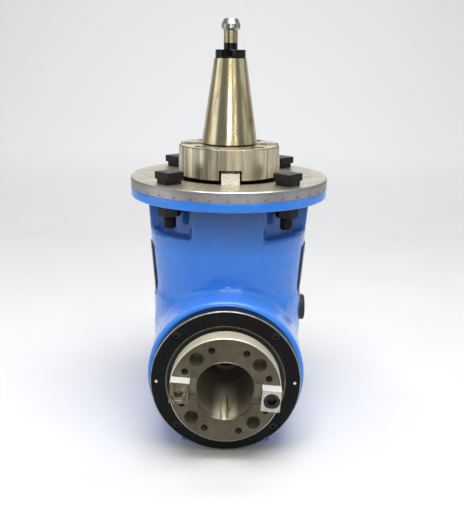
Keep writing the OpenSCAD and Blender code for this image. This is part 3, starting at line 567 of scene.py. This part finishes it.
def nose_steel():
    """Spindle nose: olive film on the face, a pilot painted golden and bright for the light from above, matt holes,
    and painted highlight streaks at the bottom of the socket.
    """
    material, tree, shader = finish("nose_steel", 1.0, 0.3)
    base = [0.122, 0.11, 0.08]
    where = place(tree)
    radius, axial, rings = turned(tree, "Y", SPINDLE_Z)
    depth = maths(tree, "SUBTRACT", axial, NOSE_LOW.y)
    film = cloudy(tree, where, 30, 5, 0.6, 0.5)
    lines = cloudy(tree, rings, 950, 2)
    olive = [base[0] * 0.66, base[1] * 0.64, base[2] * 0.58]
    shade = mixed(tree, ranged(tree, film, 0.4, 0.68), base, olive)
    shade = mixed(tree, ranged(tree, lines, 0.35, 0.75, 0.0, 0.18), shade, [c * 0.55 for c in base])
    dirt = ranged(tree, cloudy(tree, where, 230, 4, 0.7), 0.6, 0.7, 0.0, 0.75)
    shade = mixed(tree, dirt, shade, (0.09, 0.07, 0.04))
    shade = mixed(tree, ranged(tree, depth, 0.8 * MM, 3 * MM), shade, (0.2, 0.185, 0.14))
    # painted highlight: bright streaks at the bottom middle of the socket near its mouth, fading deeper in
    streak = cloudy(tree, stretched(tree, where, (1.0, 0.05, 0.3)), 170, 4, 0.6)
    aside = maths(tree, "ABSOLUTE", coordinate(tree, 0))
    bright = maths(tree, "MULTIPLY", ranged(tree, streak, 0.33, 0.5), ranged(tree, aside, 16 * MM, 3 * MM))
    socket_painted_highlight = mixed(tree, bright, (0.15, 0.135, 0.09), (0.98, 0.9, 0.66))
    inner = mixed(tree, ranged(tree, depth, 20 * MM, 75 * MM), socket_painted_highlight, (0.12, 0.115, 0.1))
    shade = mixed(tree, ranged(tree, radius, SOCKET_MOUTH + 1.4 * MM, SOCKET_MOUTH + 0.4 * MM), shade, inner)
    # painted highlight: the pilot is the face's steel painted golden and bright, for the light falling on it from
    # above
    pilot_painted_highlight = mixed(tree, ranged(tree, lines, 0.35, 0.7), (1.0, 0.95, 0.77), (0.80, 0.71, 0.50))
    pilot = ranged(tree, radius, PILOT_RADIUS - 0.9 * MM, PILOT_RADIUS - 0.3 * MM)
    join(tree, mixed(tree, pilot, shade, pilot_painted_highlight), shader, "Base Color")
    inside = maths(tree, "MULTIPLY", ranged(tree, depth, 0.8 * MM, 3 * MM), maths(tree, "SUBTRACT", 1.0, pilot))
    dull = maths(tree, "MAXIMUM", maths(tree, "MULTIPLY", pilot, 0.36), maths(tree, "MULTIPLY", inside, 0.85))
    join(tree, maths(tree, "SUBTRACT", 1.0, dull), shader, "Metallic")
    rough = ranged(tree, film, 0.3, 0.7, 0.24, 0.4)
    join(tree, maths(tree, "ADD", rough, maths(tree, "MULTIPLY", pilot, 0.14)), shader, "Roughness")
    join(tree, bumped(tree, lines, 0.07, 0.06 * MM), shader, "Normal")
    return material


def plain_worked(name, base, metallic, rough, scale=140, dark=0.7, bump=0.12):
    """A worked surface with cloudy tone, grain and a little relief."""
    material, tree, shader = finish(name, metallic, rough)
    where = place(tree)
    grain = cloudy(tree, where, scale, 5, 0.62)
    shade = mixed(tree, ranged(tree, grain, 0.36, 0.68), list(base), [c * dark for c in base])
    join(tree, shade, shader, "Base Color")
    join(tree, ranged(tree, grain, 0.3, 0.7, rough - 0.07, rough + 0.12), shader, "Roughness")
    join(tree, bumped(tree, cloudy(tree, where, scale * 4, 3), bump, 0.1 * MM), shader, "Normal")
    return material


def sweep_paper():
    """Matt paper of the floor, painted paler towards the back where it rises, as painted light on the backdrop."""
    material, tree, shader = finish("sweep_paper", 0.0, 0.7)
    base = colours().floor
    where = place(tree)
    grain = cloudy(tree, where, 6, 5, 0.62)
    shade = mixed(tree, ranged(tree, grain, 0.36, 0.68), list(base), [c * 0.97 for c in base])
    # painted light: the paper grows paler towards the back, for the light washing the backdrop
    backdrop_painted_light = ranged(tree, coordinate(tree, 1), FLOOR_REAR / 2, FLOOR_REAR + 0.3)
    join(tree, mixed(tree, backdrop_painted_light, shade, [c * 1.3 for c in base]), shader, "Base Color")
    join(tree, bumped(tree, cloudy(tree, where, 24, 3), 0.02, 0.1 * MM), shader, "Normal")
    return material


# mesh helpers

def new_piece(name, mesh, material, body, slot, *nodes):
    """Links a mesh as a piece that rides on a body and stands for CAD nodes."""
    made = bpy.data.objects.new(name, mesh)
    bpy.context.scene.collection.objects.link(made)
    mesh.materials.clear()
    mesh.materials.append(material)
    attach(made, body)
    if nodes:
        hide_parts(*nodes)
    return made


def dress(material, *names):
    """Gives CAD nodes a finish."""
    for name in names:
        mesh = frame["nodes"][name].data
        mesh.materials.clear()
        mesh.materials.append(material)


def mesh_from(bm, name, smooth=True):
    mesh = bpy.data.meshes.new(name)
    bmesh.ops.recalc_face_normals(bm, faces=bm.faces)
    bm.to_mesh(mesh)
    bm.free()
    mesh.polygons.foreach_set("use_smooth", [smooth] * len(mesh.polygons))
    return mesh


# the casting as a distance field

def joined(a, b, soft):
    """Distance to the union of two solids, blended over a soft zone."""
    share = np.clip(0.5 + 0.5 * (b - a) / soft, 0, 1)
    return b * (1 - share) + a * share - soft * share * (1 - share)


def common(a, b, soft):
    """Distance to the common part of two solids, with a rounded edge."""
    return -joined(-a, -b, soft)


def body_field(p):
    """Cone, flare and drum round the input axis."""
    s = sizes()
    radius = np.hypot(p[:, 0], p[:, 1])
    slope = (s.cone_top - s.cone_low) / (s.collar_low - s.crease)
    cone = (radius - s.cone_low - slope * (p[:, 2] - s.crease)) / math.hypot(1, slope)
    flare_slope = (s.drum_radius - s.cone_low) / s.flare
    flare = np.maximum(radius - s.cone_low + flare_slope * (p[:, 2] - s.crease), radius - s.drum_radius)
    sides = joined(cone, flare, CREASE_SOFT)
    return common(sides, s.drum_low - p[:, 2], DRUM_SOFT)


def pocket_field(p):
    """The four nut pockets under the collar, down to the wall round the bearings."""
    s = sizes()
    plan = common(s.pocket_inner - np.abs(p[:, 0]), s.pocket_side - np.abs(p[:, 1]), POCKET_SOFT)
    plan = common(plan, s.pocket_radius - np.hypot(p[:, 0], p[:, 1]), POCKET_BACK_SOFT)
    return common(plan, s.pocket_low - p[:, 2], POCKET_SOFT)


def tag_field(p):
    """Shallow seats of the two side plates."""
    s = sizes()
    across = np.abs(p[:, 1]) * math.cos(TAG_HALF) - np.abs(p[:, 0]) * math.sin(TAG_HALF)
    slope = (s.cone_top - s.cone_low) / (s.collar_low - s.crease)
    floor = s.cone_low + slope * (p[:, 2] - s.crease) - TAG_SUNK
    high = np.abs(p[:, 2] - (TAG_LOW.z + TAG_HIGH.z) / 2) - (TAG_HIGH.z - TAG_LOW.z) / 2
    return np.maximum(np.maximum(across, high), floor - np.hypot(p[:, 0], p[:, 1]))


def casting_field(p):
    """Signed distance to the casting's outside."""
    s = sizes()
    radius = np.hypot(p[:, 0], p[:, 1])
    body = common(body_field(p), -pocket_field(p), POCKET_SOFT)
    middle = -(s.plate_thickness - s.collar_low) / 2
    half = (-s.collar_low - s.plate_thickness) / 2
    collar = common(radius - s.plate_radius + RIM_INSET, np.abs(p[:, 2] - middle) - half, COLLAR_EDGE)
    field = joined(body, collar, COLLAR_SOFT)
    around = np.hypot(p[:, 0], p[:, 2] - SPINDLE_Z)
    front = common(around - s.barrel_radius, BARREL_FRONT - p[:, 1], FRONT_EDGE)
    barrel = common(front, p[:, 1] - BARREL_REAR, REAR_EDGE)
    field = joined(field, barrel, s.fillet)
    corner = np.abs(p - FOOT_CENTRE) - FOOT_HALF
    foot = np.linalg.norm(np.maximum(corner, 0), axis=1) + np.minimum(corner.max(axis=1), 0) - FOOT_ROUND
    field = joined(field, foot, FOOT_SOFT)
    field = common(field, CASTING_LOW.z - p[:, 2], SOLE_EDGE)
    spot = np.maximum(np.hypot(p[:, 1], p[:, 2] - PLUG_Z) - PLUG_SPOT, PLUG_FACE - p[:, 0])
    return common(common(field, -spot, SPOT_EDGE), -tag_field(p), TAG_EDGE)


def outside_points(p):
    """True where a mesh point belongs to the outside of the casting, clear of bores and screw holes."""
    radius = np.hypot(p[:, 0], p[:, 1])
    around = np.hypot(p[:, 0], p[:, 2] - SPINDLE_Z)
    keep = np.abs(casting_field(p)) < SKIN_REACH
    keep &= ~((radius < BORE_RADIUS) & (p[:, 2] > -BORE_DEPTH))
    keep &= ~((around < BORE_RADIUS) & (p[:, 1] < -BORE_DEPTH))
    keep &= ~((around < REAR_BORE_RADIUS) & (p[:, 1] > REAR_BORE_START))
    angle = np.degrees(np.arctan2(p[:, 1], p[:, 0]))
    for start, step, circle, clear in HOLE_RINGS:
        off = np.radians((angle - start + step / 2) % step - step / 2)
        near = np.hypot(radius * np.cos(off) - circle, radius * np.sin(off)) < clear
        keep &= ~(near & (p[:, 2] > HOLE_LOW))
    return keep


def settle(points, lumps):
    """Moves points onto the casting's surface, raised by the lumps of the cast skin."""
    step = 0.05 * MM
    for _ in range(5):
        value = casting_field(points) - lumps
        slope = np.empty_like(points)
        for axis in range(3):
            shift = np.zeros(3)
            shift[axis] = step
            slope[:, axis] = (casting_field(points + shift) - casting_field(points - shift)) / (2 * step)
        length = np.maximum((slope ** 2).sum(axis=1), 0.2)
        points = points - slope * (value / length)[:, None]
    return points


def cast_skin(points):
    """Height of the waves in the cast skin: none on the machined rim, end face, seats and underside."""
    s = sizes()
    waves = np.array([noise.noise(Vector(p) * 38) + 0.5 * noise.noise(Vector(p) * 90) for p in points])
    radius = np.hypot(points[:, 0], points[:, 1])
    cast = (radius < s.plate_radius - MACHINED_CLEAR) & (points[:, 1] > BARREL_FRONT + MACHINED_CLEAR)
    cast &= (points[:, 2] > CASTING_LOW.z + MACHINED_CLEAR) & (tag_field(points) > TAG_CLEAR)
    return waves * s.lumps * cast


class MakeCasting(bpy.types.Operator):
    """Enamelled casting with blended corners, remeshed from the frame's housing"""
    bl_idname = "angle_head.casting"
    bl_label = "Casting"

    def execute(self, context):
        bm = bmesh.new()
        bm.from_mesh(frame["nodes"]["housing"].data)
        bmesh.ops.remove_doubles(bm, verts=bm.verts, dist=1e-6)
        rough = bpy.data.objects.new("rough_casting", mesh_from(bm, "rough_casting"))
        context.scene.collection.objects.link(rough)
        cells = rough.modifiers.new("cells", "REMESH")
        cells.mode = "VOXEL"
        cells.voxel_size = sizes().voxel
        context.view_layer.update()
        shape = rough.evaluated_get(context.evaluated_depsgraph_get())
        mesh = bpy.data.meshes.new_from_object(shape)
        bpy.data.objects.remove(rough, do_unlink=True)
        points = np.empty(len(mesh.vertices) * 3)
        mesh.vertices.foreach_get("co", points)
        points = points.reshape(-1, 3)
        outside = outside_points(points)
        points[outside] = settle(points[outside], cast_skin(points[outside]))
        mesh.vertices.foreach_set("co", points.ravel())
        mesh.polygons.foreach_set("use_smooth", [True] * len(mesh.polygons))
        mesh.update()
        new_piece("housing_casting", mesh, blue_enamel(), HEAD, "blue_paint", "housing")
        return {"FINISHED"}


# the graduated plate

def wrapped(bm, angle, radius):
    """Bends flat work (x along the rim, y up, z outward) round the plate at an angle from the front."""
    for vert in bm.verts:
        turn = angle + vert.co.x / radius
        out = radius + vert.co.z
        vert.co = Vector((out * math.sin(turn), -out * math.cos(turn), vert.co.y))


def add_tick(bm, angle, length, radius):
    """Adds one line of the scale at an angle from the front."""
    made = bmesh.ops.create_cube(bm, size=1.0)["verts"]
    for vert in made:
        x = vert.co.x * sizes().tick_width
        out = radius + SCALE_RELIEF * (vert.co.z + 0.5) - SCALE_RELIEF * 2 * (vert.co.z < 0)
        turn = angle + x / radius
        vert.co = Vector((out * math.sin(turn), -out * math.cos(turn), SCALE_TOP - length * (0.5 - vert.co.y)))


def number_mesh(value, relief):
    """Flat mesh of a number, centred on x."""
    words = bpy.data.curves.new("number", "FONT")
    words.body = str(value)
    words.size = sizes().number_height
    words.extrude = relief
    words.align_x = "CENTER"
    words.resolution_u = 3
    holder = bpy.data.objects.new("number", words)
    bpy.context.scene.collection.objects.link(holder)
    bpy.context.view_layer.update()
    mesh = bpy.data.meshes.new_from_object(holder.evaluated_get(bpy.context.evaluated_depsgraph_get()))
    bpy.data.objects.remove(holder, do_unlink=True)
    return mesh


class MakePlate(bpy.types.Operator):
    """Graduated steel plate with a degree scale on its rim"""
    bl_idname = "angle_head.plate"
    bl_label = "Graduated plate"

    def execute(self, context):
        s = sizes()
        radius = s.plate_radius - RIM_INSET - SCALE_RELIEF
        shrink = radius / s.plate_radius
        mesh = frame["nodes"]["mounting_plate"].data.copy()
        mesh.transform(Matrix.Diagonal((shrink, shrink, 1, 1)))
        new_piece("graduated_plate", mesh, plate_steel(), HEAD, "ground_steel", "mounting_plate")
        bm = bmesh.new()
        for degree in range(-179, 181):
            length = next(length for step, length in TICK_LENGTHS if degree % step == 0)
            add_tick(bm, math.radians(degree), length, radius)
        for degree in range(-170, 181, 10):
            away = abs(degree)
            shown = away if away <= 90 else 180 - away
            digits = bmesh.new()
            digits.from_mesh(number_mesh(shown, SCALE_RELIEF * 0.95))
            bmesh.ops.translate(digits, verts=digits.verts, vec=(0, SCALE_TOP - NUMBER_FOOT, 0))
            wrapped(digits, math.radians(degree), radius)
            piece = bpy.data.meshes.new("digits")
            digits.to_mesh(piece)
            digits.free()
            bm.from_mesh(piece)
        ink = plain_worked("scale_ink", (0.035, 0.034, 0.036), 0.2, 0.5, 400)
        new_piece("degree_scale", mesh_from(bm, "degree_scale", False), ink, HEAD, "black_oxide")
        return {"FINISHED"}


# T-slot bolts

def add_thread(bm, centre, radius, low, high, pitch):
    """Closed rod with a helical thread."""
    around, per_pitch, depth = 32, 8, 0.6 * pitch
    rows = int((high - low) / pitch * per_pitch)
    rings = []
    for row in range(rows + 1):
        z = low + (high - low) * row / rows
        ring = []
        for index in range(around):
            turn = 2 * math.pi * index / around
            phase = (z / pitch - index / around) % 1.0
            cut = depth * (1 - abs(2 * phase - 1)) * 0.75
            end = max(0.0, TEE_POINT - (z - low))
            r = min(radius - cut, radius - end)
            ring.append(bm.verts.new((centre[0] + r * math.cos(turn), centre[1] + r * math.sin(turn), z)))
        rings.append(ring)
    for lower, upper in zip(rings, rings[1:]):
        for index in range(around):
            after = (index + 1) % around
            bm.faces.new((lower[index], lower[after], upper[after], upper[index]))
    bm.faces.new(rings[0][::-1])
    bm.faces.new(rings[-1])


def add_block(bm, centre, turn, half, low, high, bevel):
    """Bevelled block turned about its own vertical axis."""
    block = bmesh.new()
    bmesh.ops.create_cube(block, size=1.0)
    for vert in block.verts:
        z = low if vert.co.z < 0 else high
        vert.co = Vector((vert.co.x * 2 * half[0], vert.co.y * 2 * half[1], z))
    bmesh.ops.bevel(block, geom=list(block.edges), offset=bevel, segments=3, profile=0.5, affect="EDGES")
    block.transform(Matrix.Translation((centre[0], centre[1], 0)) @ Matrix.Rotation(turn, 4, "Z"))
    piece = bpy.data.meshes.new("block")
    block.to_mesh(piece)
    block.free()
    bm.from_mesh(piece)


class MakeBolts(bpy.types.Operator):
    """Square-headed T-slot bolts with cut threads, and their nuts"""
    bl_idname = "angle_head.bolts"
    bl_label = "T-slot bolts"

    def execute(self, context):
        bm = bmesh.new()
        for turn in range(4):
            angle = math.radians(45 + 90 * turn)
            centre = (TEE_CIRCLE * math.cos(angle), TEE_CIRCLE * math.sin(angle))
            head = (TEE_HEAD_HALF, TEE_HEAD_HALF)
            add_block(bm, centre, angle, head, TEE_HEAD_LOW, TEE_HIGH.z, TEE_HEAD_BEVEL)
            add_block(bm, centre, angle, TEE_NECK_HALF, TEE_NECK_LOW, TEE_NECK_HIGH, TEE_NECK_BEVEL)
            add_thread(bm, centre, TEE_SHAFT_RADIUS, TEE_LOW.z, TEE_SHAFT_TOP, TEE_PITCH)
        mesh = mesh_from(bm, "tee_bolts")
        mesh.set_sharp_from_angle(angle=math.radians(38))
        oxide = black_oxide()
        new_piece("tee_bolts", mesh, oxide, HEAD, "black_oxide", "t_bolts")
        dress(oxide, "t_bolt_nuts", "plate_screws")
        return {"FINISHED"}


class DressShank(bpy.types.Operator):
    """Finishes of the floating shank and its drive"""
    bl_idname = "angle_head.shank"
    bl_label = "Shank finishes"

    def execute(self, context):
        dress(shank_steel(), "taper_shank")
        dress(ring_steel(), "drive_ring")
        # painted shade: the hub and thrust washer are near-black, for the shadow in the gap under the drive ring
        dress(plain_worked("shade_dark_under_ring", (0.030, 0.027, 0.022), 0.8, 0.5, 150), "input_hub", "thrust_washer")
        dress(stud_steel(), "pull_stud")
        dress(speckled_bright(), "drive_blocks")
        dress(black_oxide("screw_black", 0.5, 0.36), "drive_ring_screws", "drive_block_screws", "float_screw")
        return {"FINISHED"}


class DressNose(bpy.types.Operator):
    """Finishes of the spindle nose, its keys and its covers"""
    bl_idname = "angle_head.nose"
    bl_label = "Nose finishes"

    def execute(self, context):
        dress(nose_steel(), "output_spindle")
        dress(key_steel(), "nose_keys")
        black = cover_black()
        dress(black, "front_cover", "rear_cover")
        dress(key_screw(), "nose_key_screws")
        dress(black_oxide("nose_screw_black", 0.3, 0.34), "front_cover_screws", "rear_cover_screws", "draw_bolt")
        dress(plain_worked("seal_rubber", (0.02, 0.02, 0.021), 0.0, 0.62, 180, 0.6), "front_seal", "input_seal")
        return {"FINISHED"}


class DressTrim(bpy.types.Operator):
    """Finishes of the side plates and the oil plug"""
    bl_idname = "angle_head.trim"
    bl_label = "Side plates and plug"

    def execute(self, context):
        dress(plain_worked("side_plate_dark", (0.075, 0.055, 0.055), 0.6, 0.4, 90), "side_plate_left",
              "side_plate_right")
        dress(plain_worked("pin_steel", (0.80, 0.79, 0.76), 1.0, 0.36, 500), "side_plate_pins", "cover_dowels")
        dress(plain_worked("plug_plastic", (0.026, 0.018, 0.018), 0.0, 0.42, 120), "oil_plug")
        dress(plain_worked("washer_dark", (0.05, 0.037, 0.03), 0.5, 0.5, 200), "oil_plug_washer")
        return {"FINISHED"}


class DressInside(bpy.types.Operator):
    """Finishes of the gears, bearings and other inner pieces"""
    bl_idname = "angle_head.inside"
    bl_label = "Inner pieces"

    def execute(self, context):
        bronze = plain_worked("bronze", colours().bronze, 1.0, 0.32, 160)
        dress(bronze, "input_cages", "front_cages", "rear_cage")
        dress(plain_worked("gear_steel", (0.40, 0.39, 0.37), 1.0, 0.33, 130), "input_gear", "output_gear",
              "input_gear_key", "output_gear_key", "spacer_sleeve", "input_inner_spacer", "input_outer_spacer")
        dress(plain_worked("bearing_steel", (0.68, 0.68, 0.69), 1.0, 0.16, 220, 0.88, 0.04), "input_outer_races",
              "front_outer_races", "rear_outer_race", "input_inner_races", "front_inner_races",
              "rear_inner_race", "input_balls", "front_balls", "rear_balls")
        dress(black_oxide("nut_black", 0.3, 0.4), "input_lock_nut", "front_lock_nut", "rear_lock_nut",
              "input_circlip", "input_gear_retainer", "retainer_screw")
        return {"FINISHED"}


# stage

def area_light(name, position, target, width, height, power, colour):
    lamp = bpy.data.lights.new(name, "AREA")
    lamp.shape = "RECTANGLE"
    lamp.size = width
    lamp.size_y = height
    lamp.energy = power
    lamp.color = colour
    made = bpy.data.objects.new(name, lamp)
    made.location = position
    made.rotation_euler = (Vector(target) - Vector(position)).to_track_quat("-Z", "Y").to_euler()
    bpy.context.scene.collection.objects.link(made)


def sweep_mesh():
    """Floor that curves up into a backdrop."""
    bm = bmesh.new()
    floor_z = CAD_BOX[0].z
    profile = [(FLOOR_FRONT, floor_z), (FLOOR_REAR, floor_z)]
    for step in range(1, BEND_STEPS + 1):
        angle = math.pi / 2 * step / BEND_STEPS
        profile.append((FLOOR_REAR + BEND * math.sin(angle), floor_z + BEND * (1 - math.cos(angle))))
    profile.append((FLOOR_REAR + BEND, WALL_TOP))
    rows = [[bm.verts.new((x, y, z)) for x in (-FLOOR_SIDE, FLOOR_SIDE)] for y, z in profile]
    for lower, upper in zip(rows, rows[1:]):
        bm.faces.new((lower[0], lower[1], upper[1], upper[0]))
    return mesh_from(bm, "sweep")


class MakeStage(bpy.types.Operator):
    """Pale floor and backdrop, soft lights and the camera"""
    bl_idname = "angle_head.stage"
    bl_label = "Stage"

    def execute(self, context):
        scene = context.scene
        sweep = bpy.data.objects.new("sweep", sweep_mesh())
        scene.collection.objects.link(sweep)
        sweep.data.materials.append(sweep_paper())
        world = bpy.data.worlds.new("studio")
        scene.world = world
        world.use_nodes = True
        sky = world.node_tree.nodes["Background"]
        sky.inputs["Color"].default_value = SKY_COLOUR
        sky.inputs["Strength"].default_value = SKY_STRENGTH
        for name, settings in LIGHTS.items():
            area_light(name, *settings)
        lens = bpy.data.cameras.new("camera")
        lens.lens = CAMERA_LENS
        lens.sensor_width = 36
        lens.clip_start = 0.01
        camera = bpy.data.objects.new("camera", lens)
        camera.location = CAMERA_PLACE
        pitch = Euler((CAMERA_PITCH, 0, 0)).to_matrix()
        roll = Euler((0, 0, CAMERA_ROLL)).to_matrix()
        camera.rotation_euler = (pitch @ roll).to_euler()
        scene.collection.objects.link(camera)
        scene.camera = camera
        scene.view_settings.view_transform = "Standard"
        return {"FINISHED"}


STEPS = (MakeCasting, MakePlate, MakeBolts, DressShank, DressNose, DressTrim, DressInside, MakeStage)


class HeadPanel(bpy.types.Panel):
    """Lists the steps that dress the head"""
    bl_idname = "VIEW3D_PT_angle_head"
    bl_label = "Angle head"
    bl_space_type = "VIEW_3D"
    bl_region_type = "UI"
    bl_category = "Angle head"

    def draw(self, context):
        for step in STEPS:
            self.layout.operator(step.bl_idname)


CLASSES = (HeadSizes, HeadColours, *STEPS, HeadPanel)


def register():
    for cls in CLASSES:
        bpy.utils.register_class(cls)
    bpy.types.Scene.angle_head_sizes = bpy.props.PointerProperty(type=HeadSizes)
    bpy.types.Scene.angle_head_colours = bpy.props.PointerProperty(type=HeadColours)


def unregister():
    del bpy.types.Scene.angle_head_colours
    del bpy.types.Scene.angle_head_sizes
    for cls in reversed(CLASSES):
        bpy.utils.unregister_class(cls)


def main():
    """Dresses the head step by step."""
    register()
    for step in STEPS:
        group, name = step.bl_idname.split(".")
        getattr(getattr(bpy.ops, group), name)()


if __name__ == "__main__":
    main()
